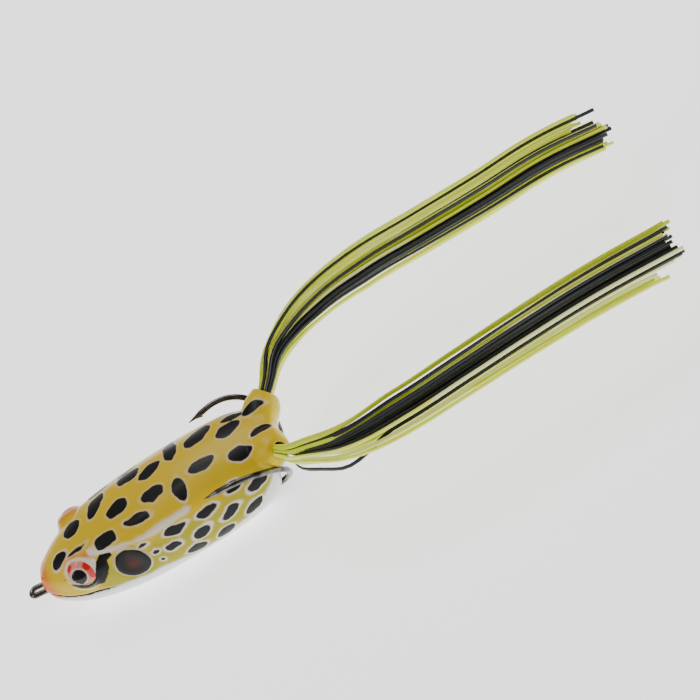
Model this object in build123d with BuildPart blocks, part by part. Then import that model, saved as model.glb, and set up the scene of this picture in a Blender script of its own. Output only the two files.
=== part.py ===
from build123d import *
import os
from math import cos, pi, radians, sin, sqrt, tan

# Hollow-bodied frog lure with a double hook and two rubber-strand legs. All sizes in mm.
# The nose points along -X, the belly's flat face is at z = 0 and the leg tips reach +X.

# driving sizes
body_length = 63.6
body_width = 24.4
body_height = 19.5
wall = 1.3
inner_floor = 1.3
eye_radius = 3.8
eye_from_nose = 12.4
eye_y = 7.3
eye_z = 13.0
brow_wall = 1.1
brow_inset = 1.8
eye_backing = 1.0
socket_clearance = 0.02
wire_radius = 0.65
line_eye_gap = 0.9
line_eye_reach = 2.6
line_eye_height = 8.75
shank_gap = 2.5
shank_floor = 0.32
bend_clearance = 3.85
arm_clearance = 0.06
arm_drop = 2.8
bend_turn = 194.0
arm_length = 1.9
point_length = 3.4
point_tip_radius = 0.08
barb_start = 0.4
barb_length = 1.5
barb_height = 1.0
barb_thickness = 0.44
nose_hole_width_clearance = 0.7
nose_hole_height_clearance = 1.5
weight_length = 13.0
weight_width = 7.4
weight_height = 5.85
weight_bottom_z = 0.35
weight_corner = 1.2
weight_top_fillet = 2.2
weight_bottom_fillet = 0.8
weight_to_bend = 7.5
weight_clearance = 0.5
slot_height = 6.0
slot_corner = 1.0
pocket_corner = 1.5
nose_hole_z = 8.0
nose_hole_corner = 0.9
hollow_end_share = 0.6
hollow_turn_x = 20.0
slot_side_clearance = 0.35
slot_lead = 16.1
slot_rear_width = 10.4
slot_rear_lead = 2.3
slot_rear_end = 1.1
strand_diameter = 0.5
strand_gap = 0.02
strand_rows = 3
collar_length = 1.6
collar_wall = 0.24
collar_bore_clearance = 0.03
neck_clearance = 0.17
neck_flare = 0.3
neck_depth = 1.2
swing_clearance = 0.55
chamber_front = 2.0
chamber_depth = 6.6
collar_depth = 4.4
stub_wall = 0.5
stub_length = 7.0
mouth_from_tail = 0.2
mouth_y = 8.9
mouth_z = 14.3
leg_yaw = 50.0
leg_rise = 15.0
strand_depth = 5.2
knee_distance = 9.5
knee_bend = 18.0
heel_from_tail = 16.9
heel_from_mouth_y = 14.3
heel_z = 18.2
heel_bend = 22.0
leg_reach = 88.4
toe_from_mouth_y = 12.9
toe_z = 17.2
strand_stagger = 3.0

# how far the bundle opens at each bend, sideways and upwards
knee_spread = (1.12, 1.12)
heel_spread = (2.1, 1.7)
toe_spread = (3.2, 2.2)

# 0 for chartreuse and 1 for black, row by row from the bottom of the bundle
strand_colours = (
    0, 0, 1,
    0, 0, 1, 0, 0,
    0, 1, 1, 1, 0, 0,
    1, 1, 1, 1, 0,
    0, 1, 1, 0, 0, 0,
    0, 1, 0, 0,
    1, 0,
)

os.makedirs("parts", exist_ok=True)

# body sections as first drawn: x, half width, top, bottom, height of the widest line
stations = [
    (-34.0, 1.5, 10.4, 6.6, 8.5),
    (-33.3, 3.0, 11.7, 5.4, 8.6),
    (-32.0, 4.4, 13.1, 4.4, 8.7),
    (-30.0, 5.8, 14.5, 3.2, 8.9),
    (-26.0, 8.0, 16.4, 1.6, 9.3),
    (-20.0, 10.0, 18.1, 0.3, 9.6),
    (-12.0, 11.5, 19.1, -0.6, 9.8),
    (-4.0, 12.1, 19.5, -0.7, 9.8),
    (4.0, 12.2, 19.5, -0.7, 9.8),
    (12.0, 11.9, 19.0, -0.6, 9.8),
    (18.0, 11.6, 18.3, 0.2, 9.9),
    (22.0, 10.9, 17.6, 1.3, 10.2),
    (24.2, 9.9, 17.1, 3.4, 10.8),
    (25.6, 8.7, 16.7, 6.6, 11.9),
    (26.8, 7.9, 16.3, 9.6, 13.0),
    (28.4, 7.0, 15.6, 10.8, 13.3),
    (29.6, 5.4, 14.9, 11.6, 13.3),
]
# a longer body grows between these distances either side of its middle, and its ends keep their shape
straight_reach = 12.0
extra_length = body_length - (stations[-1][0] - stations[0][0])
width_scale = body_width / 2 / max(half_width for x, half_width, top, bottom, middle in stations)
height_scale = body_height / max(top for x, half_width, top, bottom, middle in stations)


def stretched(x):
    return x + extra_length / 2 * max(-1, min(1, x / straight_reach))


nose_x = stretched(stations[0][0])
tail_x = stretched(stations[-1][0])

# the legs' bundles and what they pass through
strand_pitch = strand_diameter + strand_gap
bundle_radius = strand_pitch * sqrt(7) + strand_diameter / 2
collar_bore = bundle_radius + collar_bore_clearance
collar_radius = collar_bore + collar_wall
neck_radius = bundle_radius + neck_clearance
chamber_radius = collar_radius + swing_clearance
stub_radius = chamber_radius + stub_wall

# the hook's arms pass just outside the body's sides, and its bends stand just clear of the rump
eye_wire_offset = line_eye_gap / 2 + wire_radius
bend_start_y = shank_gap / 2 + wire_radius
bend_start_z = shank_floor + wire_radius
arm_spread = body_width / 2 + wire_radius + arm_clearance - bend_start_y
arm_rise = body_height - arm_drop - bend_start_z
bend_radius = sqrt(arm_spread ** 2 + arm_rise ** 2) / 2
bend_start_x = tail_x - bend_clearance + wire_radius - bend_radius
eye_bend_x = nose_x - line_eye_reach
eye_bend_z = line_eye_height * height_scale
weight_centre_x = bend_start_x - weight_to_bend
slot_start_x = bend_start_x - slot_lead
slot_rear_x = bend_start_x - slot_rear_lead
slot_end_x = tail_x - slot_rear_end


def section_points(half_width, top, bottom, middle):
    """Closed ring of (y, z) points, rounder above the widest line than below it."""
    ring = []
    for step in range(32):
        angle = 2 * pi * step / 32
        c = cos(angle)
        s = sin(angle)
        power = 2 / 2.2 if s > 0 else 2 / 2.6
        height = top - middle if s > 0 else middle - bottom
        y = half_width * (abs(c) ** power) * (1 if c > 0 else -1)
        z = middle + height * (abs(s) ** power) * (1 if s > 0 else -1)
        ring.append((y, z))
    return ring


def scaled(half_width, top, bottom, middle):
    return half_width * width_scale, top * height_scale, bottom * height_scale, middle * height_scale


def section_plane(x):
    return Plane(origin=(x, 0, 0), x_dir=(0, 1, 0), z_dir=(1, 0, 0))


def unit(x, y, z):
    length = sqrt(x * x + y * y + z * z)
    return Vector(x / length, y / length, z / length)


def leg_axis(side):
    yaw = radians(leg_yaw)
    rise = radians(leg_rise)
    return Vector(cos(yaw) * cos(rise), side * sin(yaw) * cos(rise), sin(rise))


def leg_mouth(side):
    return Vector(tail_x - mouth_from_tail, side * mouth_y * width_scale, mouth_z * height_scale)


def leg_plane(side, along):
    """Plane square to the leg's hole, this far outside its mouth."""
    return Plane(origin=leg_mouth(side) + leg_axis(side) * along, x_dir=(0, 0, 1), z_dir=leg_axis(side))


def eye_direction(side):
    return unit(-0.25, side * 0.85, 0.46)


def eye_centre(side):
    return Vector(nose_x + eye_from_nose, side * eye_y * width_scale, eye_z * height_scale)


# hollow soft body with brows round the eyes, leg stubs, a nose hole and a belly slot
with BuildPart() as body_shell:
    for x, half_width, top, bottom, middle in stations:
        with BuildSketch(section_plane(stretched(x))):
            with BuildLine():
                Spline(*section_points(*scaled(half_width, top, bottom, middle)), periodic=True)
            make_face()
    loft()
    for side in (-1, 1):
        with BuildSketch(leg_plane(side, -stub_length)):
            Circle(stub_radius)
        extrude(amount=stub_length)
    for x, half_width, top, bottom, middle in stations[3:15]:
        half_width, top, bottom, middle = scaled(half_width, top, bottom, middle)
        inward = wall * hollow_end_share * (-1 if x > hollow_turn_x else 1)
        with BuildSketch(section_plane(stretched(x) + inward)):
            with BuildLine():
                ring = section_points(
                    half_width - wall,
                    top - wall,
                    max(bottom + wall, inner_floor),
                    max(middle, inner_floor + 1),
                )
                Spline(*ring, periodic=True)
            make_face()
    loft(mode=Mode.SUBTRACT)
    for side in (-1, 1):
        with Locations(eye_centre(side) - eye_direction(side) * brow_inset):
            Sphere(eye_radius + brow_wall)
        with Locations(eye_centre(side)):
            Sphere(eye_radius + socket_clearance, mode=Mode.SUBTRACT)
        with BuildSketch(leg_plane(side, -chamber_front - chamber_depth)):
            Circle(chamber_radius)
        extrude(amount=chamber_depth, mode=Mode.SUBTRACT)
        with BuildSketch(leg_plane(side, -chamber_front)):
            Circle(neck_radius)
        extrude(amount=chamber_front - neck_depth, mode=Mode.SUBTRACT)
        with BuildSketch(leg_plane(side, -neck_depth)):
            Circle(neck_radius)
        with BuildSketch(leg_plane(side, 0.1)):
            Circle(neck_radius + neck_flare)
        loft(mode=Mode.SUBTRACT)
    # flat belly at z = 0
    with BuildSketch(Plane.XY):
        Rectangle(3 * body_length, 3 * body_width)
    extrude(amount=-body_height, mode=Mode.SUBTRACT)
    # nose hole for the two wires
    nose_hole_centre = (nose_x - 4, 0, nose_hole_z * height_scale)
    with BuildSketch(Plane(origin=nose_hole_centre, x_dir=(0, 1, 0), z_dir=(1, 0, 0))):
        RectangleRounded(
            2 * (eye_wire_offset + wire_radius) + nose_hole_width_clearance,
            2 * wire_radius + nose_hole_height_clearance,
            nose_hole_corner,
        )
    extrude(amount=10, mode=Mode.SUBTRACT)
    # belly slot: narrow for the wires, wide for the weight and wider where the bends leave
    with BuildSketch(Plane.XY):
        with Locations(((slot_start_x + weight_centre_x) / 2, 0)):
            RectangleRounded(
                weight_centre_x - slot_start_x,
                2 * (bend_start_y + wire_radius + slot_side_clearance),
                slot_corner,
            )
        with Locations((weight_centre_x, 0)):
            RectangleRounded(
                weight_length + 2 * weight_clearance,
                weight_width + 2 * weight_clearance,
                pocket_corner,
            )
        with Locations(((slot_rear_x + slot_end_x) / 2, 0)):
            RectangleRounded(slot_end_x - slot_rear_x, slot_rear_width, pocket_corner)
    extrude(amount=slot_height, mode=Mode.SUBTRACT)
body_shell.part.label = "body_shell"
export_step(body_shell.part, "parts/body_shell.step")


# glossy eye balls set in the brows
def make_eye(side, name):
    with BuildPart() as eye:
        with Locations(eye_centre(side)):
            Sphere(eye_radius)
        back_face = eye_centre(side) - eye_direction(side) * eye_backing
        split(bisect_by=Plane(back_face, z_dir=eye_direction(side)))
    eye.part.label = name
    export_step(eye.part, "parts/" + name + ".step")
    return eye.part


left_eye = make_eye(-1, "left_eye")
right_eye = make_eye(1, "right_eye")


# one bent wire: point, bend, shank, line eye at the nose, then the same back to the other point
def hook_corners(side):
    start = Vector(bend_start_x, side * bend_start_y, bend_start_z)
    front = Vector(eye_bend_x, side * eye_wire_offset, eye_bend_z)
    along = (start - front).normalized()
    splay = Vector(0, side * arm_spread, arm_rise).normalized()
    across = (splay - along * splay.dot(along)).normalized()
    half_turn = radians(bend_turn / 2)
    reach = bend_radius * tan(half_turn / 2)
    middle = along * cos(half_turn) + across * sin(half_turn)
    last = along * cos(2 * half_turn) + across * sin(2 * half_turn)
    first_corner = start + along * reach
    second_corner = first_corner + middle * (2 * reach + 0.01)  # a hair straight between the two arcs
    arm_end = second_corner + last * (reach + arm_length)
    inward = (middle - last * middle.dot(last)).normalized() * -1
    return front, first_corner, second_corner, arm_end, last, inward


left_front, left_first, left_second, left_end, left_along, left_inward = hook_corners(-1)
right_front, right_first, right_second, right_end, right_along, right_inward = hook_corners(1)

with BuildPart() as double_hook:
    with BuildLine() as left_wire:
        FilletPolyline(left_end, left_second, left_first, left_front, radius=bend_radius)
    with BuildSketch(Plane(origin=left_end, z_dir=left_along * -1)):
        Circle(wire_radius)
    sweep(path=left_wire.wires()[0])
    with BuildLine() as right_wire:
        FilletPolyline(right_end, right_second, right_first, right_front, radius=bend_radius)
    with BuildSketch(Plane(origin=right_end, z_dir=right_along * -1)):
        Circle(wire_radius)
    sweep(path=right_wire.wires()[0])
    # line eye
    with BuildLine() as nose_bend:
        ThreePointArc(left_front, Vector(eye_bend_x - eye_wire_offset, 0, eye_bend_z), right_front)
    with BuildSketch(Plane(origin=left_front, z_dir=(-1, 0, 0))):
        Circle(wire_radius)
    sweep(path=nose_bend.wires()[0])
    for end, along, inward in ((left_end, left_along, left_inward), (right_end, right_along, right_inward)):
        # ground point
        with BuildSketch(Plane(origin=end, z_dir=along)):
            Circle(wire_radius)
        with BuildSketch(Plane(origin=end + along * point_length, z_dir=along)):
            Circle(point_tip_radius)
        loft()
        # barb on the inside of the bend
        with BuildSketch(Plane(origin=end, x_dir=along, z_dir=along.cross(inward))):
            with BuildLine():
                Polyline(
                    (barb_start, wire_radius / 2),
                    (barb_start + barb_length, wire_radius / 3),
                    (-0.1, barb_height),
                    close=True,
                )
            make_face()
        extrude(amount=barb_thickness / 2, both=True)
double_hook.part.label = "double_hook"
export_step(double_hook.part, "parts/double_hook.step")
print("double_hook volume", double_hook.part.volume, "bend radius", bend_radius)

# weight cast round both shanks inside the belly slot
with BuildPart() as keel_weight:
    with BuildSketch(Plane.XY.offset(weight_bottom_z)):
        with Locations((weight_centre_x, 0)):
            RectangleRounded(weight_length, weight_width, weight_corner)
    extrude(amount=weight_height)
    fillet(keel_weight.faces().sort_by(Axis.Z)[-1].edges(), weight_top_fillet)
    fillet(keel_weight.faces().sort_by(Axis.Z)[0].edges(), weight_bottom_fillet)
    add(double_hook.part, mode=Mode.SUBTRACT)
keel_weight.part.label = "keel_weight"
export_step(keel_weight.part, "parts/keel_weight.step")


# rubber band that holds each leg's strands together inside the shell
def make_collar(side, name):
    with BuildPart() as collar:
        with BuildSketch(leg_plane(side, -collar_depth)):
            Circle(collar_radius)
            Circle(collar_bore, mode=Mode.SUBTRACT)
        extrude(amount=collar_length)
    collar.part.label = name
    export_step(collar.part, "parts/" + name + ".step")


# strands packed in a hexagonal bundle with its six corners left out
def strand_places():
    places = []
    for row in range(-strand_rows, strand_rows + 1):
        for column in range(-strand_rows, strand_rows + 1):
            if abs(row + column) > strand_rows:
                continue
            across = strand_pitch * (column + row / 2)
            up = strand_pitch * row * sqrt(3) / 2
            if sqrt(across * across + up * up) < strand_pitch * (strand_rows - 0.1):
                places.append((across, up))
    return places


def strand_route(side, across, up, stagger):
    mouth = leg_mouth(side)
    axis = leg_axis(side)
    knee = mouth + axis * knee_distance
    heel = Vector(tail_x + heel_from_tail, mouth.Y + side * heel_from_mouth_y, heel_z * height_scale)
    toe = Vector(tail_x + leg_reach + stagger, mouth.Y + side * toe_from_mouth_y, toe_z * height_scale)
    level = Vector(0, 0, 1)
    points = []
    for point, before, after, spread, lift in (
        (mouth - axis * strand_depth, axis, axis, 1.0, 1.0),
        (knee, axis, (heel - knee).normalized(), *knee_spread),
        (heel, (heel - knee).normalized(), (toe - heel).normalized(), *heel_spread),
        (toe, (toe - heel).normalized(), (toe - heel).normalized(), *toe_spread),
    ):
        forward = (before + after).normalized()
        sideways = level.cross(forward).normalized()
        upward = forward.cross(sideways)
        points.append(point + sideways * (across * spread * side) + upward * (up * lift))
    return points


def make_strands(side, colour_index, name):
    with BuildPart() as strands:
        for number, (across, up) in enumerate(strand_places()):
            if strand_colours[number] != colour_index:
                continue
            stagger = strand_stagger * sin(number * 2.4)
            points = strand_route(side, across, up, stagger)
            with BuildLine() as route:
                FilletPolyline(*points, radius=[knee_bend, heel_bend])
            with BuildSketch(Plane(origin=points[0], z_dir=points[1] - points[0])):
                Circle(strand_diameter / 2)
            sweep(path=route.wires()[0])
    strands.part.label = name
    export_step(strands.part, "parts/" + name + ".step")
    print(name, "strands", len(strands.part.solids()), "volume", strands.part.volume)


for side, side_name in ((-1, "left"), (1, "right")):
    make_collar(side, side_name + "_leg_collar")
    make_strands(side, 0, side_name + "_leg_chartreuse_strands")
    make_strands(side, 1, side_name + "_leg_black_strands")
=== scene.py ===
import bpy
import math
import random
import numpy as np
from mathutils import Matrix, Vector


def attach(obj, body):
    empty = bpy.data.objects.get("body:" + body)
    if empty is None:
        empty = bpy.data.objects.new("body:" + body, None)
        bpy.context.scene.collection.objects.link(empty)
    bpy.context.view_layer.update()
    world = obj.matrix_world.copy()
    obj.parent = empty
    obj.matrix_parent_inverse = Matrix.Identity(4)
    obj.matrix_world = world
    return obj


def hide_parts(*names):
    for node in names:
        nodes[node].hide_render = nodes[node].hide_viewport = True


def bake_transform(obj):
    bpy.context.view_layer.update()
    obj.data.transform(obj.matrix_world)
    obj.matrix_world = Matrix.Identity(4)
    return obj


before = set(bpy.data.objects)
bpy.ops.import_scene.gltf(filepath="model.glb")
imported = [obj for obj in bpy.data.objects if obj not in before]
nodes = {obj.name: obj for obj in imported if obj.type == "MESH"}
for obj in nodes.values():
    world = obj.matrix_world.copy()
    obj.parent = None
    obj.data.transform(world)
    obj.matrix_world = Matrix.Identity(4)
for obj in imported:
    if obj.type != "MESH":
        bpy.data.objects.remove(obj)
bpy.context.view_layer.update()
mm = 0.001


# small tools for meshes
def clearSelection():
    if bpy.context.object and bpy.context.object.mode != "OBJECT":
        bpy.ops.object.mode_set(mode="OBJECT")
    bpy.ops.object.select_all(action="DESELECT")


def pick(*things):
    clearSelection()
    for thing in things:
        thing.select_set(True)
    bpy.context.view_layer.objects.active = things[0]
    return things[0]


def keepPlace(thing, name=None):
    # put the object's place into its mesh, so that the object itself sits at the origin
    pick(thing)
    bpy.ops.object.transform_apply(location=True, rotation=True, scale=True)
    if name:
        thing.name = name
        thing.data.name = name
    return thing


def useModifier(thing, kind, **settings):
    pick(thing)
    modifier = thing.modifiers.new(kind.lower(), kind)
    for key, value in settings.items():
        setattr(modifier, key, value)
    bpy.ops.object.modifier_apply(modifier=modifier.name)
    return thing


def joinPieces(*things):
    pick(*things)
    bpy.ops.object.join()
    return bpy.context.object


def cutAway(thing, cutter):
    useModifier(thing, "BOOLEAN", object=cutter, operation="DIFFERENCE", solver="EXACT")
    bpy.data.objects.remove(cutter)
    return thing


def smoothShade(thing, angle=40):
    pick(thing)
    bpy.ops.object.shade_smooth_by_angle(angle=math.radians(angle))
    return thing


def readPoints(thing):
    flat = np.zeros(len(thing.data.vertices) * 3)
    thing.data.vertices.foreach_get("co", flat)
    return flat.reshape(-1, 3)


def readNormals(thing):
    flat = np.zeros(len(thing.data.vertices) * 3)
    thing.data.vertices.foreach_get("normal", flat)
    return flat.reshape(-1, 3)


def writePoints(thing, points):
    thing.data.vertices.foreach_set("co", points.reshape(-1))
    thing.data.update()


def paintValue(thing, name, values):
    layer = thing.data.attributes.get(name) or thing.data.attributes.new(name, "FLOAT", "POINT")
    layer.data.foreach_set("value", np.asarray(values, np.float32))


def smoothStep(low, high, value):
    t = np.clip((value - low) / (high - low), 0, 1)
    return t * t * (3 - 2 * t)


# small tools for shaders
class Link:
    # a socket that can be used in sums

    def __init__(self, kit, socket):
        self.kit = kit
        self.socket = socket

    def sum(self, how, first, second):
        return self.kit.node("ShaderNodeMath", {"operation": how}, {0: first, 1: second})

    def __add__(self, other):
        return self.sum("ADD", self, other)

    def __radd__(self, other):
        return self.sum("ADD", other, self)

    def __sub__(self, other):
        return self.sum("SUBTRACT", self, other)

    def __rsub__(self, other):
        return self.sum("SUBTRACT", other, self)

    def __mul__(self, other):
        return self.sum("MULTIPLY", self, other)

    def __rmul__(self, other):
        return self.sum("MULTIPLY", other, self)


class Paint:
    # one material, and the few nodes that the finishes here need

    def __init__(self, name):
        self.material = bpy.data.materials.new(name)
        self.material.use_nodes = True
        self.tree = self.material.node_tree
        self.tree.nodes.clear()
        self.shader = self.tree.nodes.new("ShaderNodeBsdfPrincipled")
        output = self.tree.nodes.new("ShaderNodeOutputMaterial")
        self.tree.links.new(self.shader.outputs[0], output.inputs[0])

    def node(self, kind, settings, inputs, out=0):
        made = self.tree.nodes.new(kind)
        for key, value in settings.items():
            setattr(made, key, value)
        for key, value in inputs.items():
            self.plug(made.inputs[key], value)
        return Link(self, made.outputs[out])

    def plug(self, socket, value):
        if isinstance(value, Link):
            self.tree.links.new(value.socket, socket)
        elif hasattr(value, "__len__") and len(value) == 3 and socket.type == "RGBA":
            socket.default_value = (*value, 1)
        else:
            socket.default_value = value

    def place(self):
        return self.node("ShaderNodeTexCoord", {}, {}, "Object")

    def value(self, name):
        return self.node("ShaderNodeAttribute", {"attribute_name": name}, {}, "Fac")

    def noise(self, scale, detail=3.0, at=None):
        return self.node("ShaderNodeTexNoise", {}, {
            "Vector": at or self.place(), "Scale": scale, "Detail": detail}, "Fac")

    def mix(self, amount, first, second):
        return self.node("ShaderNodeMix", {"data_type": "RGBA"}, {0: amount, 6: first, 7: second}, 2)

    def step(self, value, low, high, start=0.0, end=1.0):
        return self.node("ShaderNodeMapRange", {"interpolation_type": "SMOOTHSTEP"}, {
            0: value, 1: low, 2: high, 3: start, 4: end})

    def bump(self, height, distance, strength=1.0):
        return self.node("ShaderNodeBump", {}, {
            "Height": height, "Distance": distance, "Strength": strength})

    def set(self, **values):
        for key, value in values.items():
            self.plug(self.shader.inputs[key.replace("_", " ")], value)
        return self.material

    def on(self, thing):
        thing.data.materials.clear()
        thing.data.materials.append(self.material)
        return self


def srgb(red, green, blue):
    def linear(value):
        value = value / 255
        return value / 12.92 if value <= 0.04045 else ((value + 0.055) / 1.055) ** 2.4
    return (linear(red), linear(green), linear(blue))


# camera, floor and light
studio = {
    "lookAt": (48.1, 14.4, 8.0),
    "azimuth": 17.3,
    "elevation": 37.9,
    "roll": -42.7,
    "distance": 550.0,
    "lens": 133.1,
    "sensorWidth": 36,
    "floorSize": 6,
    "floorColour": (238, 238, 238),
    "floorGlow": 1.5,
    "surroundGlow": 0.26,
    # area lights in metres and watts: name, place, aim, size, power
    "lights": (
        ("topSoftbox", (0.1, 0.45, 0.7), (0.03, 0, 0.01), (0.6, 0.4), 2.6),
        ("shoulderStrip", (-0.12, 0.08, 0.62), (0, 0, 0.01), (0.5, 0.05), 0.5),
        ("noseSoftbox", (-0.6, -0.1, 0.5), (0.03, 0, 0.01), (0.4, 0.4), 0.9),
    ),
}


def makeCamera():
    azimuth, elevation, roll = (math.radians(studio[key]) for key in ("azimuth", "elevation", "roll"))
    back = Vector((
        math.sin(azimuth) * math.cos(elevation),
        -math.cos(azimuth) * math.cos(elevation),
        math.sin(elevation)))
    level = Vector((math.cos(azimuth), math.sin(azimuth), 0))
    upright = back.cross(level)
    right = level * math.cos(roll) + upright * math.sin(roll)
    up = upright * math.cos(roll) - level * math.sin(roll)
    place = Vector(studio["lookAt"]) * mm + back * studio["distance"] * mm
    data = bpy.data.cameras.new("camera")
    data.lens = studio["lens"]
    data.sensor_width = studio["sensorWidth"]
    data.clip_start = 0.01
    data.clip_end = 20
    camera = bpy.data.objects.new("camera", data)
    bpy.context.scene.collection.objects.link(camera)
    camera.matrix_world = Matrix((
        (right.x, up.x, back.x, place.x),
        (right.y, up.y, back.y, place.y),
        (right.z, up.z, back.z, place.z),
        (0, 0, 0, 1)))
    bpy.context.scene.camera = camera


def makeLight(name, place, aim, size, power):
    clearSelection()
    bpy.ops.object.light_add(type="AREA", location=place)
    lamp = bpy.context.object
    lamp.name = name
    lamp.data.shape = "RECTANGLE"
    lamp.data.size, lamp.data.size_y = size
    lamp.data.energy = power
    lamp.rotation_euler = (Vector(place) - Vector(aim)).to_track_quat("Z", "Y").to_euler()


def makeStudio():
    clearSelection()
    bpy.ops.mesh.primitive_plane_add(size=studio["floorSize"], location=(0.03, 0, 0))
    floor = keepPlace(bpy.context.object, "floor")
    paper = Paint("paleFloor")
    paper.set(Base_Color=srgb(*studio["floorColour"]), Roughness=0.9,
              Emission_Color=(1, 1, 1), Emission_Strength=studio["floorGlow"])
    paper.on(floor)
    for light in studio["lights"]:
        makeLight(*light)
    world = bpy.data.worlds.new("studioWorld")
    bpy.context.scene.world = world
    world.use_nodes = True
    background = world.node_tree.nodes["Background"]
    background.inputs["Color"].default_value = (1, 1, 1, 1)
    background.inputs["Strength"].default_value = studio["surroundGlow"]


makeCamera()
makeStudio()
print("studio ready")


# soft frog body
frogBody = {
    # along the body: x, half width, top, bottom, height of the widest line
    "rings": (
        (-34.0, 1.5, 10.4, 6.6, 8.5),
        (-33.3, 3.0, 11.7, 5.4, 8.6),
        (-32.0, 4.4, 13.1, 4.4, 8.7),
        (-30.0, 5.8, 14.5, 3.2, 8.9),
        (-26.0, 8.0, 16.4, 1.6, 9.3),
        (-20.0, 10.0, 18.1, 0.3, 9.6),
        (-12.0, 11.5, 19.1, -0.6, 9.8),
        (-4.0, 12.1, 19.5, -0.7, 9.8),
        (4.0, 12.2, 19.5, -0.7, 9.8),
        (12.0, 11.9, 19.0, -0.6, 9.8),
        (18.0, 11.6, 18.3, 0.2, 9.9),
        (22.0, 10.9, 17.6, 1.3, 10.2),
        (24.2, 9.9, 17.1, 3.4, 10.8),
        (25.6, 8.7, 16.7, 6.6, 11.9),
        (26.8, 7.9, 16.3, 9.6, 13.0),
        (28.4, 7.0, 15.6, 10.8, 13.3),
        (29.6, 5.4, 14.9, 11.6, 13.3),
    ),
    "wall": 1.3,
    "innerFloor": 1.3,
    # the hollow runs between these rings, and its ends stand in by a share of the wall
    "hollowRings": slice(3, 15),
    "hollowEndShare": 0.6,
    "hollowTurn": 20,
    "upperRoundness": 2.2,
    "lowerRoundness": 2.6,
    "voxel": 0.32,
    "smoothing": 10,
    "eyeCentre": (-21.6, 7.3, 13.0),
    "eyeDirection": (-0.25, 0.85, 0.46),
    "eyeRadius": 3.8,
    "browRadius": 4.9,
    "browInset": 1.8,
    "legMouth": (29.4, 8.9, 14.3),
    "legYaw": 50.0,
    "legRise": 15.0,
    # leg stubs as short cones: start and end along the leg, radius at each
    "stubRods": ((-7.5, -2.2, 4.3, 4.0), (-2.3, -0.7, 4.0, 3.3), (-0.8, 0.1, 3.3, 2.7)),
    "neckRadius": 1.8,
    "neckTaper": 0.05,
    "neckEnds": (-2.2, 0.6),
    "chamberRadius": 2.45,
    "chamberEnds": (-8.6, -2.0),
    "socketClearance": 0.03,
    # blocks cut out of the shell: low corner, high corner, rounding
    "cuts": (
        # the flat of the belly
        ((-60, -30, -10), (60, 30, 0), 0.001),
        # belly slot, from its narrow front to its wide rear
        ((0.7, -2.9, -1), (8.7, 2.9, 5), 0.8),
        ((2.3, -4.2, -1), (16.3, 4.2, 6), 0.8),
        ((14.5, -5.2, -1), (28.5, 5.2, 6), 0.8),
        # wire hole at the nose
        ((-38, -2.1, 6.6), (-28, 2.1, 9.4), 0.8),
    ),
}


def sideVector(values, side):
    return Vector((values[0], values[1] * side, values[2]))


def legAxis(side):
    yaw, rise = math.radians(frogBody["legYaw"]), math.radians(frogBody["legRise"])
    return Vector((math.cos(yaw) * math.cos(rise), side * math.sin(yaw) * math.cos(rise), math.sin(rise)))


def legPoint(side, along):
    return sideVector(frogBody["legMouth"], side) + legAxis(side) * along


def makeBodyCage(name, rings):
    # a disc at the nose, extruded ring by ring to the rump
    clearSelection()
    first = rings[0]
    bpy.ops.mesh.primitive_circle_add(
        vertices=40, radius=1, fill_type="NGON",
        location=(first[0], 0, first[4]), rotation=(0, -math.pi / 2, 0))
    cage = keepPlace(bpy.context.object, name)
    bpy.ops.object.mode_set(mode="EDIT")
    bpy.ops.mesh.select_all(action="SELECT")
    bpy.ops.transform.resize(
        value=(1, first[1], (first[2] - first[3]) / 2), center_override=(first[0], 0, first[4]))
    last = first
    for ring in rings[1:]:
        bpy.ops.mesh.extrude_region_move(
            TRANSFORM_OT_translate={"value": (ring[0] - last[0], 0, ring[4] - last[4])})
        bpy.ops.transform.resize(
            value=(1, ring[1] / last[1], (ring[2] - ring[3]) / (last[2] - last[3])),
            center_override=(ring[0], 0, ring[4]))
        last = ring
    bpy.ops.mesh.select_all(action="SELECT")
    bpy.ops.mesh.normals_make_consistent(inside=False)
    bpy.ops.object.mode_set(mode="OBJECT")
    # make each ring fuller than an ellipse, with its own top and bottom
    points = readPoints(cage)
    for ring in rings:
        near = np.abs(points[:, 0] - ring[0]) < 0.01
        y = points[near, 1] / ring[1]
        z = (points[near, 2] - ring[4]) / ((ring[2] - ring[3]) / 2)
        angle = np.arctan2(z, y)
        upper = z > 0
        power = 2 / np.where(upper, frogBody["upperRoundness"], frogBody["lowerRoundness"])
        height = np.where(upper, ring[2] - ring[4], ring[4] - ring[3])
        points[near, 1] = ring[1] * np.sign(np.cos(angle)) * np.abs(np.cos(angle)) ** power
        points[near, 2] = ring[4] + height * np.sign(np.sin(angle)) * np.abs(np.sin(angle)) ** power
    writePoints(cage, points)
    return useModifier(cage, "SUBSURF", levels=2, render_levels=2)


def makeRod(radius, endRadius, side, start, end, sides=48):
    # a rod or cone along a leg's axis
    middle = legPoint(side, (start + end) / 2)
    turn = legAxis(side).to_track_quat("Z", "Y").to_euler()
    clearSelection()
    bpy.ops.mesh.primitive_cone_add(
        vertices=sides, radius1=radius, radius2=endRadius, depth=end - start, location=middle, rotation=turn)
    return keepPlace(bpy.context.object)


def makeBall(radius, centre, segments=48):
    clearSelection()
    bpy.ops.mesh.primitive_uv_sphere_add(
        segments=segments, ring_count=segments // 2, radius=radius, location=centre)
    return keepPlace(bpy.context.object)


def makeBlock(low, high, rounding):
    size = [b - a for a, b in zip(low, high)]
    clearSelection()
    bpy.ops.mesh.primitive_cube_add(size=1, location=[(a + b) / 2 for a, b in zip(low, high)], scale=size)
    block = keepPlace(bpy.context.object)
    return useModifier(block, "BEVEL", width=rounding, segments=4)


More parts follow.
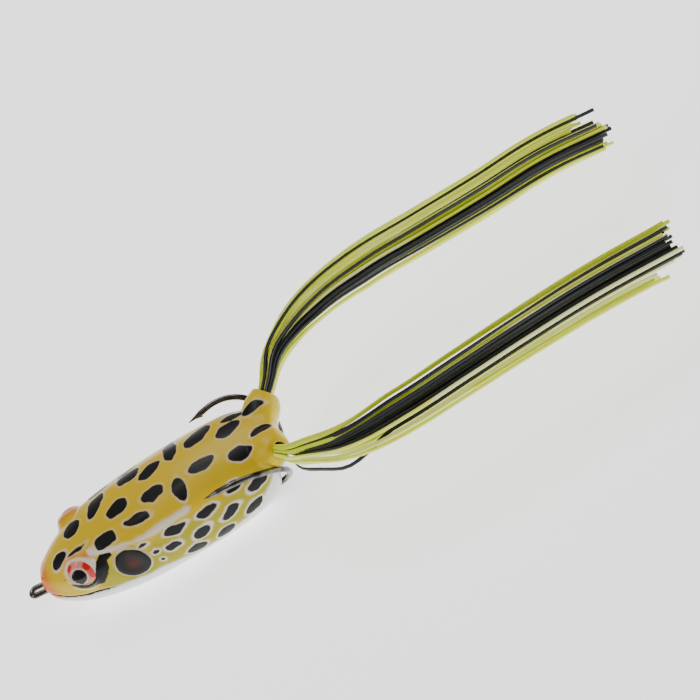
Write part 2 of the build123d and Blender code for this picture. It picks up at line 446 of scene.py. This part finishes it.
# lines and reliefs pressed into the skin, in the side view where a place has two numbers
bodyDetails = {
    "mouthLine": ((-33, 9), (-31, 8.7), (-29, 8), (-25, 7.5), (-21.5, 7.5), (-17.5, 6.7)),
    "mouthDepth": 0.22,
    "mouthWidth": 0.32,
    "lipHeight": 0.16,
    "lipAboveMouth": 0.9,
    "lipWidth": 0.7,
    "nostril": (-32.2, 1.9, 12.6),
    # height or depth, and reach
    "nostrilRim": (0.25, 1.1),
    "nostrilHole": (0.55, 0.42),
    "earCentre": (-10.5, 11.0),
    "earRadius": 3.75,
    "earRise": 0.3,
    "earDish": 0.28,
    "earGutter": (0.18, 0.35),
    "lidMiddle": (0.25, 0.8, 0.6),
    "lidCorner": (0.7, 0.65, -0.3),
    "lidWide": 58.0,
    "lidTall": 38.0,
    "lidRadius": 4.08,
    "ridgeLine": ((-17.5, 16.5), (-11.5, 15.5), (-4.5, 15), (2.5, 15.2), (14, 15.5), (21, 15)),
    "ridgeHeight": 0.35,
    "ridgeWidth": 1.5,
    "ridgePaintEnd": 9.0,
    "rumpBumps": ((28.8, 3.0, 14.6, 2.2, 0.9), (29.0, 10.0, 16.6, 1.6, 0.7), (27.0, 11.2, 15.0, 1.8, 0.5)),
    "hookGroove": ((11.3, 11.2, 15.6), (16.0, 11.4, 15.9), (21.0, 11.0, 15.2), (25.5, 9.8, 12.6)),
    "grooveDepth": 0.45,
    "grooveWidth": 1.1,
}


def lineDistance(x, z, line):
    # distance in the side view from each point to a bent line
    best = np.full(len(x), 1e9)
    for (ax, az), (bx, bz) in zip(line, line[1:]):
        dx, dz = bx - ax, bz - az
        t = np.clip(((x - ax) * dx + (z - az) * dz) / (dx * dx + dz * dz), 0, 1)
        best = np.minimum(best, np.hypot(x - ax - t * dx, z - az - t * dz))
    return best


def lidReach(points, side):
    # how far each point stands from the slanted oval that the lids leave open: 1 at its edge
    mirror = np.array((1, side, 1))
    away = points - np.array(sideVector(frogBody["eyeCentre"], side))
    radius = np.linalg.norm(away, axis=1)
    way = away / radius[:, None]
    middle = np.array(bodyDetails["lidMiddle"]) * mirror
    middle = middle / np.linalg.norm(middle)
    wide = np.array(bodyDetails["lidCorner"]) * mirror
    wide = wide - middle * (wide @ middle)
    wide = wide / np.linalg.norm(wide)
    tall = np.cross(middle, wide)
    turn = np.degrees(np.arccos(np.clip(way @ middle, -1, 1)))
    u, v = way @ wide, way @ tall
    size = np.hypot(u, v) + 1e-9
    reach = turn * np.hypot(u / size / bodyDetails["lidWide"], v / size / bodyDetails["lidTall"])
    return away, radius, turn, reach


def foldLids(points, side):
    away, radius, turn, reach = lidReach(points, side)
    way = away / radius[:, None]
    lid = smoothStep(0.9, 1.12, reach) * smoothStep(130, 105, turn)
    wanted = np.maximum(radius, bodyDetails["lidRadius"])
    outside = radius < bodyDetails["lidRadius"] + 0.4
    radius = np.where(outside, radius + (wanted - radius) * lid, radius)
    return points - away + way * radius[:, None]


def hump(away, reach):
    # 1 at no distance, and next to nothing past twice the reach
    return np.exp(-(away / reach) ** 2)


def awayFrom(points, place, side):
    return np.linalg.norm(points - np.array(sideVector(place, side)), axis=1)


def sculptBody(body):
    details = bodyDetails
    points = readPoints(body)
    normals = readNormals(body)
    x, y, z = points.T
    off = np.zeros(len(x))
    sideways = smoothStep(0.15, 0.5, np.abs(normals[:, 1]) + np.maximum(0, -normals[:, 0]))
    # mouth line with a lip above it, fading out before the ear
    mouth = lineDistance(x, z, details["mouthLine"])
    fade = smoothStep(-16.5, -19.0, x)
    off -= details["mouthDepth"] * hump(mouth, details["mouthWidth"]) * sideways * fade
    lip = z - np.interp(x, *zip(*details["mouthLine"])) - details["lipAboveMouth"]
    off += details["lipHeight"] * hump(lip, details["lipWidth"]) * sideways * fade
    # ridge along each side of the back
    ridge = lineDistance(x, z, details["ridgeLine"])
    outer = smoothStep(3.0, 6.0, np.abs(y))
    off += details["ridgeHeight"] * hump(ridge, details["ridgeWidth"]) * outer * smoothStep(24, 18, x)
    # round ear patch: raised edge, dished middle, fine gutter round it
    ear = np.hypot(x - details["earCentre"][0], z - details["earCentre"][1])
    radius = details["earRadius"]
    onSide = smoothStep(7, 9, np.abs(y))
    rise = details["earRise"] * smoothStep(radius + 0.5, radius - 0.25, ear)
    dish = details["earDish"] * smoothStep(radius - 0.6, 0.8, ear)
    depth, reach = details["earGutter"]
    off += onSide * (rise - dish - depth * hump(ear - radius - 0.55, reach))
    for *place, reach, height in details["rumpBumps"]:
        for side in (-1, 1):
            off += height * hump(awayFrom(points, place, side), reach)
    # a shallow groove under each arm of the hook
    folded = np.stack((x, np.abs(y), z), 1)
    groove = strokeField(folded, [(*place, 0.0) for place in details["hookGroove"]])
    off -= details["grooveDepth"] * hump(groove, details["grooveWidth"])
    for side in (-1, 1):
        away = awayFrom(points, details["nostril"], side)
        for sign, (height, reach) in ((1, details["nostrilRim"]), (-1, details["nostrilHole"])):
            off += sign * height * hump(away, reach)
    points = points + normals * off[:, None]
    for side in (-1, 1):
        points = foldLids(points, side)
    writePoints(body, points)


def makeFrogBody():
    rings = frogBody["rings"]
    body = makeBodyCage("softBody", rings)
    direction = Vector(frogBody["eyeDirection"]).normalized()
    parts = [body]
    for side in (-1, 1):
        brow = Vector(frogBody["eyeCentre"]) - direction * frogBody["browInset"]
        parts.append(makeBall(frogBody["browRadius"], sideVector(brow, side)))
        for start, end, startRadius, endRadius in frogBody["stubRods"]:
            parts.append(makeRod(startRadius, endRadius, side, start, end))
    body = joinPieces(*parts)
    useModifier(body, "REMESH", mode="VOXEL", voxel_size=frogBody["voxel"])
    useModifier(body, "SMOOTH", factor=0.5, iterations=frogBody["smoothing"])
    sculptBody(body)
    print("body skin", len(body.data.polygons), "faces")
    wall = frogBody["wall"]
    inward = frogBody["hollowEndShare"] * wall
    inner = []
    for x, halfWidth, top, bottom, middle in rings[frogBody["hollowRings"]]:
        place = x - inward if x > frogBody["hollowTurn"] else x + inward
        floor = max(bottom + wall, frogBody["innerFloor"])
        inner.append((place, halfWidth - wall, top - wall, floor, middle))
    cutAway(body, makeBodyCage("hollow", inner))
    chamber, neck, taper = frogBody["chamberRadius"], frogBody["neckRadius"], frogBody["neckTaper"]
    for side in (-1, 1):
        socket = frogBody["eyeRadius"] + frogBody["socketClearance"]
        cutAway(body, makeBall(socket, sideVector(frogBody["eyeCentre"], side)))
        cutAway(body, makeRod(chamber, chamber, side, *frogBody["chamberEnds"]))
        cutAway(body, makeRod(neck - taper, neck + taper, side, *frogBody["neckEnds"]))
    for low, high, rounding in frogBody["cuts"]:
        cutAway(body, makeBlock(low, high, rounding))
    return body


# printed colours of the skin, and the olive that paints shade on its lower flanks
skinPaint = {
    # each spot: place along the body, turn round it from the top, length, width, tilt of the long axis
    "spots": (
        # over the back
        (-26, -30, 5, 2.5, 5), (-20, -35, 4.5, 1.2, 0), (-20.5, 4, 5, 4, -30), (-13.5, 13, 6.5, 4, 60),
        (-8, -16, 5.5, 3.5, 5), (-4.5, 24, 5.5, 4, 0), (1.5, 8, 6, 3.5, 20), (7, 24, 6.5, 3.5, -85),
        (13.5, 26, 7, 4.5, 40), (1, -26, 5.5, 3, 0), (7, -39, 5.5, 3, -85), (-13, -44, 5.5, 3, 0),
        (-4.5, -44, 5.5, 2, -5), (13.5, -25, 6, 3, 0), (21, 11, 6, 4, 25), (19.5, 57, 5.5, 2.5, 0),
        (27, 29, 5.5, 2.5, 5), (27.5, -19, 4.5, 3, 15), (22, -39, 5, 3, -5),
        # down the flank
        (10, -75, 5, 2.5, 5), (2, -75, 5, 2.2, 0), (-1.5, -89, 4, 2, -5), (6, -93, 4.5, 2.5, 10),
        (13.5, -92, 5, 2, 20), (2.5, -109, 5, 2.3, -5), (9.5, -111, 4.5, 2.5, 15), (17.5, -70, 4, 2, 5),
        (22, -82, 5, 2.5, 5), (18, -104, 5.5, 2.5, 20),
        # flecks behind the ear
        (-6.5, -73, 2, 0.9, 0), (-5, -86, 1.5, 0.9, 0), (-5, -97, 1, 1, 0)),
    # spots turned further left than this are repeated on the right, a little moved
    "repeatPast": -35,
    # the dark mask behind and below the eye: x, z, half width
    "mask": (
        (-13.5, 15, 0.4), (-15.5, 14.8, 0.8), (-16.5, 13.5, 1.2), (-18, 12, 1.2), (-19.5, 10.7, 1.3),
        (-21, 11, 1), (-22, 12, 0.7), (-24, 13.5, 0.5), (-27.5, 12.5, 0.1)),
    "belly": ((-34, 6.5), (-31, 7.3), (-25, 7), (-18, 6.2), (-7, 6), (0.5, 4), (6.5, 3.5), (15, 5), (21, 7.5),
              (26, 10.5), (30, 12)),
    "yellow": (236, 198, 0),
    "gold": (240, 150, 0),
    "orange": (244, 100, 0),
    "oliveFlankShade": (172, 166, 0),
    # olive is painted shade for the lower flanks
    "pearl": (255, 240, 230),
    "white": (244, 244, 244),
    "earRed": (66, 22, 4),
    "ink": (6, 6, 7),
}


def spotField(points, normals):
    # distance to the edge of the nearest printed spot, below zero inside it
    field = np.full(len(points), 3.0)
    wanted = list(skinPaint["spots"])
    for x, turn, length, width, tilt in skinPaint["spots"]:
        if turn < skinPaint["repeatPast"]:
            sway = math.sin(x * 1.7 + turn)
            wanted.append((x + 0.5 * sway, -turn + 3 * sway, length, width * (1 + 0.1 * sway), -tilt))
    for x, turn, length, width, tilt in wanted:
        turn = math.radians(turn)
        tilt = math.radians(tilt)
        outward = np.array((0, math.sin(turn), math.cos(turn)))
        away = points - np.array((x, 0, 10))
        along = away @ outward
        aside = np.linalg.norm(away - np.outer(along, outward), axis=1)
        along[aside > 0.45] = -99
        best = np.argmax(along)
        centre, normal = points[best], normals[best]
        first = np.array((1.0, 0, 0)) - normal * normal[0]
        first /= np.linalg.norm(first)
        second = np.cross(normal, first)
        longWay = first * math.cos(tilt) + second * math.sin(tilt)
        shortWay = np.cross(normal, longWay)
        away = points - centre
        u = np.abs(away @ longWay) / (length / 2)
        v = np.abs(away @ shortWay) / (width / 2)
        power = 2.0 + 0.45 * math.sin(x * 2.3 + tilt * 3)
        reach = (u ** power + v ** power) ** (1 / power)
        edge = (reach - 1) * width / 2 * (1 + 0.35 * smoothStep(0, 1, u))
        edge[(normals @ normal < 0.1) | (np.abs(away @ normal) > 3.5)] = 3
        field = np.minimum(field, edge)
    return field


def strokeField(points, stroke):
    field = np.full(len(points), 3.0)
    for first, second in zip(stroke, stroke[1:]):
        a, b = np.array(first[:3]), np.array(second[:3])
        step = b - a
        t = np.clip((points - a) @ step / (step @ step), 0, 1)
        away = np.linalg.norm(points - a - np.outer(t, step), axis=1)
        field = np.minimum(field, away - first[3] - (second[3] - first[3]) * t)
    return field


def paintBody(body):
    # each value is a distance to an edge, and a large one means that the mark is not there
    points, normals = readPoints(body), readNormals(body)
    x, y, z = points.T
    folded = np.stack((x, np.abs(y), z), 1)
    sideways = np.abs(normals[:, 1]) + np.maximum(0, -normals[:, 0])
    fromSide = folded * np.array((1, 0, 1))
    mask = strokeField(fromSide, [(place[0], 0, place[1], place[2]) for place in skinPaint["mask"]])
    mask[(normals[:, 1] * np.sign(y) < -0.1) | (np.abs(y) < 4)] = 3
    mouth = lineDistance(x, z, bodyDetails["mouthLine"]) - 0.36 + 0.3 * smoothStep(-20, -17, x)
    mouth[(sideways < 0.35) | (x > -17)] = 3
    ear = np.hypot(x - bodyDetails["earCentre"][0], z - bodyDetails["earCentre"][1])
    ear[np.abs(y) < 7] = 9
    belly = z - np.interp(x, *zip(*skinPaint["belly"]))
    ridge = lineDistance(x, z, bodyDetails["ridgeLine"])
    ridge[np.abs(y) < 6.5] = 9
    ridge += 3 * smoothStep(bodyDetails["ridgePaintEnd"] - 3, bodyDetails["ridgePaintEnd"] + 3, x)
    lid = np.full(len(x), 9.0)
    for side in (-1, 1):
        away, radius, turn, reach = lidReach(points, side)
        near = (radius < frogBody["eyeRadius"] + 1.4) & (turn < 110)
        lid[near] = np.minimum(lid[near], 3.4 * (reach[near] - 1))
    paintValue(body, "spot", spotField(points, normals))
    paintValue(body, "mask", mask)
    paintValue(body, "mouth", mouth)
    paintValue(body, "ear", ear)
    paintValue(body, "belly", belly)
    paintValue(body, "ridge", ridge)
    paintValue(body, "lid", lid)
    paintValue(body, "along", x)
    paintValue(body, "height", z)


def colourOf(piece, name):
    return srgb(*piece[name])


def makeSkinMaterial():
    skin = Paint("printedFrogSkin")
    at = skin.place()
    fine = skin.noise(900.0, 3.0, at=at) - 0.5
    broad = skin.noise(160.0, 2.0, at=at) - 0.5
    wobble = skin.noise(330.0, 1.0, at=at) - 0.5
    ragged = fine * 0.3 + wobble * 1.5
    spot = skin.value("spot") + ragged
    along = skin.value("along")
    height = skin.value("height")
    belly = skin.value("belly") + broad * 1.6
    # painted shade: lower down the flanks the yellow darkens to olive, and less so on the head
    side = skin.step(height + broad * 3.0, 15.5, 10.5)
    colour = skin.mix(side, colourOf(skinPaint, "yellow"), colourOf(skinPaint, "oliveFlankShade"))
    nose = skin.step(along + broad * 3.0, -28.0, -33.6)
    colour = skin.mix(skin.step(along + broad * 4.0, -16.0, -24.0, 0.0, 0.75), colour,
                      colourOf(skinPaint, "yellow"))
    colour = skin.mix(nose, colour, colourOf(skinPaint, "orange"))
    lid = skin.value("lid")
    brow = skin.step(lid + broad * 1.2, 3.6, 1.6, 0.0, 0.8) * skin.step(height, 13.0, 15.0)
    colour = skin.mix(brow, colour, colourOf(skinPaint, "gold"))
    lidEdge = skin.step(lid + broad, 1.1, 0.35, 0.0, 0.9) * skin.step(height, 11.5, 13.5)
    colour = skin.mix(lidEdge, colour, colourOf(skinPaint, "pearl"))
    colour = skin.mix(skin.step(skin.value("ridge") + broad * 1.6, 0.9, 0.0, 0.0, 0.9), colour,
                      colourOf(skinPaint, "pearl"))
    colour = skin.mix(skin.step(belly, 0.9, -0.5), colour, colourOf(skinPaint, "white"))
    halo = skin.step(spot, 0.85, 0.15, 0.0, 0.8) * skin.step(height + wobble * 12.0, 19.0, 12.0, 0.3, 1.0)
    colour = skin.mix(halo, colour, colourOf(skinPaint, "pearl"))
    ear = skin.value("ear") + ragged * 0.5
    colour = skin.mix(skin.step(ear, 4.5, 4.0, 0.0, 0.3), colour, colourOf(skinPaint, "pearl"))
    dark = skin.mix(skin.step(ear + broad, 2.7, 0.3), colourOf(skinPaint, "ink"),
                    colourOf(skinPaint, "earRed"))
    mask = skin.value("mask") + broad * 1.0 + fine * 0.5
    mouth = skin.value("mouth") + skin.noise(1500.0, 1.0, at=at) * 0.5 - 0.25
    ink = skin.step(spot, 0.3, -0.12) + skin.step(mask, 0.15, -0.2) + skin.step(mouth, 0.15, -0.1)
    ink = ink + skin.step(ear, 3.9, 3.55)
    ink = skin.step(ink, 0.0, 1.0)
    colour = skin.mix(ink, colour, dark)
    rough = skin.noise(350.0, 2.0, at=at) * 0.12 + 0.24
    relief = fine * 0.5 + skin.step(spot, 0.3, -0.3) * 0.5
    skin.set(Base_Color=colour, Roughness=rough + ink * 0.06, Normal=skin.bump(relief, 0.00006, 0.5),
             Coat_Weight=0.08, Coat_Roughness=0.12, Specular_IOR_Level=0.18)
    return skin


def toMetres(thing):
    thing.data.transform(Matrix.Scale(mm, 4))
    thing.data.update()
    return thing


body = makeFrogBody()
paintBody(body)
smoothShade(body, 45)
toMetres(body)
makeSkinMaterial().on(body)
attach(body, "shell")
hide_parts("body_shell")
print("body", len(body.data.polygons), "faces")


# glossy domed eyes
eyePaint = {
    "pupilWay": (-0.07, 0.88, 0.47),
    "pupilSize": 25.0,
    "redPatches": ((-0.4, 0.25, 0.9, 17), (0.6, 0.5, 0.6, 19), (0.65, 0.75, 0.1, 20)),
    "red": (226, 20, 8),
    "pink": (246, 150, 128),
    "outline": (232, 214, 196),
    "black": (8, 9, 10),
}


def makeEyeMaterial():
    glass = Paint("domedEye")
    at = glass.place()
    cloud = glass.noise(700.0, 3.0, at=at) - 0.5
    away = glass.value("fromPupil") + cloud * 3.0
    red = glass.value("redness") + cloud * 0.35
    colour = glass.mix(glass.step(red, 0.3, 0.75), colourOf(eyePaint, "pink"), colourOf(eyePaint, "red"))
    size = eyePaint["pupilSize"]
    colour = glass.mix(glass.step(away, size + 8, size + 4), colour, colourOf(eyePaint, "outline"))
    colour = glass.mix(glass.step(away, size + 2.5, size - 0.5), colour, colourOf(eyePaint, "black"))
    colour = glass.mix(glass.step(away, 64.0, 74.0), colour, colourOf(eyePaint, "black"))
    glass.set(Base_Color=colour, Roughness=0.2, Coat_Weight=0.35, Coat_Roughness=0.05, Specular_IOR_Level=0.3,
              Normal=glass.bump(cloud, 0.00004, 0.25))
    return glass


def makeEye(side, name, node, material):
    centre = sideVector(frogBody["eyeCentre"], side)
    eye = makeBall(frogBody["eyeRadius"], centre, 96)
    eye.name = name
    away = (readPoints(eye) - np.array(centre)) / frogBody["eyeRadius"]

    def angleFrom(way):
        way = np.array(way, float) * np.array((1, side, 1))
        return np.degrees(np.arccos(np.clip(away @ (way / np.linalg.norm(way)), -1, 1)))

    red = np.zeros(len(away))
    for dx, dy, dz, reach in eyePaint["redPatches"]:
        red = np.maximum(red, np.exp(-(angleFrom((dx, dy, dz)) / reach) ** 2))
    paintValue(eye, "fromPupil", angleFrom(eyePaint["pupilWay"]))
    paintValue(eye, "redness", red)
    pick(eye)
    bpy.ops.object.shade_smooth()
    toMetres(eye)
    material.on(eye)
    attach(eye, "shell")
    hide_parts(node)


eyeMaterial = makeEyeMaterial()
makeEye(-1, "leftEye", "left_eye", eyeMaterial)
makeEye(1, "rightEye", "right_eye", eyeMaterial)
print("eyes ready")

# hook and keel weight keep their exact solids and get their metal finishes
metal = {
    "nickel": (112, 108, 104),
    "nickelDark": (52, 47, 44),
    "lead": (122, 124, 128),
    "leadDark": (70, 72, 76),
}


def makeNickel():
    nickel = Paint("blackNickel")
    at = nickel.place()
    stain = nickel.noise(420.0, 4.0, at=at)
    colour = nickel.mix(nickel.step(stain, 0.35, 0.7), colourOf(metal, "nickel"),
                        colourOf(metal, "nickelDark"))
    scratches = nickel.noise(2600.0, 2.0, at=at)
    nickel.set(Base_Color=colour, Metallic=1.0, Roughness=stain * 0.1 + 0.14,
               Normal=nickel.bump(scratches, 0.00002, 0.2), Coat_Weight=0.3, Coat_Roughness=0.08)
    return nickel


def makeLead():
    lead = Paint("castLead")
    at = lead.place()
    cloud = lead.noise(380.0, 5.0, at=at)
    colour = lead.mix(lead.step(cloud, 0.35, 0.65), colourOf(metal, "lead"), colourOf(metal, "leadDark"))
    pits = lead.noise(1400.0, 3.0, at=at)
    lead.set(Base_Color=colour, Metallic=0.85, Roughness=cloud * 0.25 + 0.38,
             Normal=lead.bump(pits, 0.00012, 0.6))
    return lead


def paintNode(node, material):
    for place in nodes[node].material_slots:
        place.material = material.material


paintNode("double_hook", makeNickel())
paintNode("keel_weight", makeLead())
print("metal ready")

# rubber rings that hold the strands together inside the shell
collarRing = {
    "start": -4.4,
    "length": 1.6,
    "radius": 1.9,
    "bore": 1.55,
    "edge": 0.3,
    "rubber": (24, 24, 26),
    "rubberDusty": (44, 44, 46),
}


def makeCollarMaterial():
    rubber = Paint("collarRubber")
    dust = rubber.noise(800.0, 4.0)
    colour = rubber.mix(dust, colourOf(collarRing, "rubber"), colourOf(collarRing, "rubberDusty"))
    rubber.set(Base_Color=colour, Roughness=dust * 0.2 + 0.5, Normal=rubber.bump(dust, 0.00005, 0.4))
    return rubber


def makeCollar(side, name, node, material):
    start, end = collarRing["start"], collarRing["start"] + collarRing["length"]
    ring = makeRod(collarRing["radius"], collarRing["radius"], side, start, end, 64)
    useModifier(ring, "BEVEL", width=collarRing["edge"], segments=4, limit_method="ANGLE")
    cutAway(ring, makeRod(collarRing["bore"], collarRing["bore"], side, start - 1, end + 1, 64))
    ring.name = name
    smoothShade(ring, 40)
    toMetres(ring)
    material.on(ring)
    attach(ring, name.replace("Collar", "").replace("Leg", "_leg"))
    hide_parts(node)


collarMaterial = makeCollarMaterial()
makeCollar(-1, "leftLegCollar", "left_leg_collar", collarMaterial)
makeCollar(1, "rightLegCollar", "right_leg_collar", collarMaterial)
print("collars ready")

# two legs of cut rubber strands
legStrands = {
    # middle of the right leg beyond its hole; the left one mirrors it
    "route": ((34, 15, 16.5), (38, 18, 17.5), (46, 22, 18), (60, 23.5, 18.5), (75, 23, 18.5),
              (90, 22.5, 18.5), (105, 22.5, 18.5), (119.5, 22, 17)),
    "start": -5.2,
    # steps from the start to the points that the root runs through
    "rootSteps": (0, 2.6, 5.2, 7.5),
    # along the leg, where the shell lets go and where the leg takes over
    "blendEnds": (-1.0, 11.0),
    "across": (0.0, -0.63, -0.77),
    # colour order across the leg in its upper, middle and lower layers
    "leftOrder": ("ckckkkkckccc", "ckcckkkccc", "cckkckccc"),
    "rightOrder": ("ckccckckkkkc", "ccckckkkcc", "cccckkkcc"),
    # distance along the leg and half width there
    "halfWidth": ((0, 1.6), (6, 1.7), (14, 2.6), (25, 3.7), (40, 4.6), (70, 4.8), (100, 5.0), (125, 5.6)),
    "halfDepth": ((0, 1.45), (6, 1.55), (14, 1.7), (40, 2.0), (125, 2.6)),
    # values for the left leg under -1 and for the right leg under 1
    "seed": {-1: 31, 1: 53},
    "longer": {-1: 2.6, 1: -1.0},
    "fullSpreadAt": {-1: 38, 1: 30},
    "edgeCut": {-1: 5.0, 1: 4.5},
    # one black strand hangs loose below the left leg: where it leaves and comes back, and how far out
    "looseLeaves": (5, 12),
    "looseReturns": (24, 38),
    "looseDrop": 1.1,
    "width": 0.84,
    "thickness": 0.46,
    "steps": 56,
    "chartreuse": (244, 252, 78),
    "chartreusePale": (252, 255, 190),
    "chartreuseDeep": (206, 218, 12),
    "black": (13, 17, 24),
    "blackWorn": (34, 40, 48),
}


def legMiddle(side):
    # evenly spaced points along the middle of a leg, from inside the shell to the tips
    near = [legPoint(side, legStrands["start"] + step) for step in legStrands["rootSteps"]]
    far = [sideVector(point, side) for point in legStrands["route"]]
    far[-1].x += legStrands["longer"][side]
    curve = bpy.data.curves.new("legMiddle", "CURVE")
    curve.dimensions = "3D"
    curve.resolution_u = 24
    line = curve.splines.new("BEZIER")
    line.bezier_points.add(len(near + far) - 1)
    for knot, point in zip(line.bezier_points, near + far):
        knot.co = point
        knot.handle_left_type = "AUTO"
        knot.handle_right_type = "AUTO"
    thing = bpy.data.objects.new("legMiddle", curve)
    bpy.context.scene.collection.objects.link(thing)
    pick(thing)
    bpy.ops.object.convert(target="MESH")
    points = readPoints(bpy.context.object)
    bpy.data.objects.remove(bpy.context.object)
    lengths = np.concatenate(([0], np.cumsum(np.linalg.norm(np.diff(points, axis=0), axis=1))))
    even = np.linspace(0, lengths[-1], legStrands["steps"])
    return even, np.stack([np.interp(even, lengths, points[:, axis]) for axis in range(3)], 1)


def unitRows(rows):
    return rows / np.linalg.norm(rows, axis=1)[:, None]


def strandPlaces(side, chance):
    # where each strand lies across and through the fan, and its colour
    places = []
    orders = legStrands["leftOrder" if side < 0 else "rightOrder"]
    for layer, order in enumerate(orders):
        for number, letter in enumerate(order):
            across = -1 + 2 * (number + 0.5) / len(order) + chance.uniform(-0.05, 0.05)
            places.append((across, 1 - layer + chance.uniform(-0.25, 0.25), letter))
    return places


def makeStrandSet(side, letter, name, node, material):
    chance = random.Random(legStrands["seed"][side])
    lengths, middle = legMiddle(side)
    along = unitRows(np.gradient(middle, axis=0))
    across = np.array(legStrands["across"])
    across = unitRows(across[None, :] - (along @ across)[:, None] * along)
    above = np.cross(across, along)
    halfWidth = np.interp(lengths, *zip(*legStrands["halfWidth"]))
    halfDepth = np.interp(lengths, *zip(*legStrands["halfDepth"]))
    spread = smoothStep(6, legStrands["fullSpreadAt"][side], lengths)
    curve = bpy.data.curves.new(name, "CURVE")
    curve.dimensions = "3D"
    curve.extrude = (legStrands["width"] - legStrands["thickness"]) / 2
    curve.bevel_depth = legStrands["thickness"] / 2
    curve.bevel_resolution = 2
    curve.use_fill_caps = True
    tones = []
    for u, v, colour in strandPlaces(side, chance):
        waves = [(chance.uniform(-1, 1), chance.uniform(0, 6.3), chance.uniform(0.02, 0.06))
                 for number in range(4)]
        cut = chance.uniform(-1.6, 1.6)
        tone = chance.random()
        tilt = chance.uniform(-0.5, 0.5)
        if colour != letter:
            continue
        if (side < 0 and u > 0.55) or (side > 0 and u < -0.3 and colour == "c"):
            cut -= legStrands["edgeCut"][side]
        inU, inV = u * math.sqrt(1 - v * v / 2.6), v * math.sqrt(1 - u * u / 2.2)
        wave = [sum(size * math.sin(phase + rate * where) for size, phase, rate in waves[i::2])
                for i in (0, 1) for where in lengths]
        waveU, waveV = np.array(wave[:len(lengths)]), np.array(wave[len(lengths):])
        front = (1 if colour == "c" else -1) * -side
        if side > 0:
            inU = inU - 0.3 if colour == "k" else inU
        else:
            inU = inU * 0.7 if colour == "k" else math.copysign(abs(inU) ** 1.7, inU)
        inV = inV * 0.5 + 0.45 * front
        placeU = (inU + (u - inU) * spread) * halfWidth + waveU * 0.28 * spread
        placeV = (inV + (v - inV) * spread) * halfDepth + waveV * 0.3 * spread
        if side < 0 and colour == "k" and u > 0.3 and v > 0.5:
            sag = smoothStep(*legStrands["looseLeaves"], lengths)
            sag *= smoothStep(*reversed(legStrands["looseReturns"]), lengths)
            placeU = placeU * (1 - sag) + (halfWidth + legStrands["looseDrop"]) * sag
        path = middle + across * placeU[:, None] + above * placeV[:, None]
        path[-6:] += along[-6:] * (np.linspace(0.1, 1, 6) * cut)[:, None]
        line = curve.splines.new("POLY")
        line.points.add(len(path) - 1)
        line.points.foreach_set("co", np.concatenate((path, np.ones((len(path), 1))), 1).reshape(-1))
        line.points.foreach_set("radius", 0.66 + 0.34 * smoothStep(6, 16, lengths))
        line.points.foreach_set("tilt", tilt * np.sin(lengths * 0.05 + tone * 6))
        line.use_smooth = True
        tones.append(tone)
    strands = bpy.data.objects.new(name, curve)
    bpy.context.scene.collection.objects.link(strands)
    pick(strands)
    bpy.ops.object.convert(target="MESH")
    strands = bpy.context.object
    strands.name = name
    strands.data.name = name
    count = len(strands.data.vertices)
    paintValue(strands, "tone", np.array(tones)[np.arange(count) * len(tones) // count])
    smoothShade(strands, 50)
    toMetres(strands)
    material.on(strands)
    start, end = (legPoint(side, place) * mm for place in legStrands["blendEnds"])
    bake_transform(strands)
    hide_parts(node)
    print(name, len(strands.data.polygons), "faces")


def makeChartreuse():
    rubber = Paint("chartreuseRubber")
    at = rubber.place()
    stretched = rubber.node("ShaderNodeMapping", {}, {"Vector": at, "Scale": (60.0, 900.0, 900.0)})
    streak = rubber.noise(1.0, 3.0, at=stretched)
    tone = rubber.value("tone") + (streak - 0.5) * 0.8
    colour = rubber.mix(rubber.step(tone, 0.0, 0.7), colourOf(legStrands, "chartreuseDeep"),
                        colourOf(legStrands, "chartreuse"))
    colour = rubber.mix(rubber.step(tone, 0.45, 1.0, 0.0, 0.85), colour,
                        colourOf(legStrands, "chartreusePale"))
    # the dye is fluorescent; the small glow given here is painted light that brightens the strands
    rubber.set(Base_Color=colour, Roughness=streak * 0.15 + 0.3, Normal=rubber.bump(streak, 0.00003, 0.3),
               Emission_Color=colour, Emission_Strength=0.16, Subsurface_Weight=0.15,
               Subsurface_Radius=(0.0006, 0.0006, 0.0002), Subsurface_Scale=1.0)
    return rubber


def makeBlackRubber():
    rubber = Paint("blackRubber")
    at = rubber.place()
    stretched = rubber.node("ShaderNodeMapping", {}, {"Vector": at, "Scale": (60.0, 900.0, 900.0)})
    streak = rubber.noise(1.0, 3.0, at=stretched)
    tone = rubber.value("tone") * 0.5 + streak * 0.5
    colour = rubber.mix(rubber.step(tone, 0.3, 0.8), colourOf(legStrands, "black"),
                        colourOf(legStrands, "blackWorn"))
    rubber.set(Base_Color=colour, Roughness=streak * 0.15 + 0.28, Normal=rubber.bump(streak, 0.00003, 0.3))
    return rubber


chartreuse = makeChartreuse()
blackRubber = makeBlackRubber()
for side, word in ((-1, "left"), (1, "right")):
    makeStrandSet(side, "c", word + "LegChartreuse", word + "_leg_chartreuse_strands", chartreuse)
    makeStrandSet(side, "k", word + "LegBlack", word + "_leg_black_strands", blackRubber)
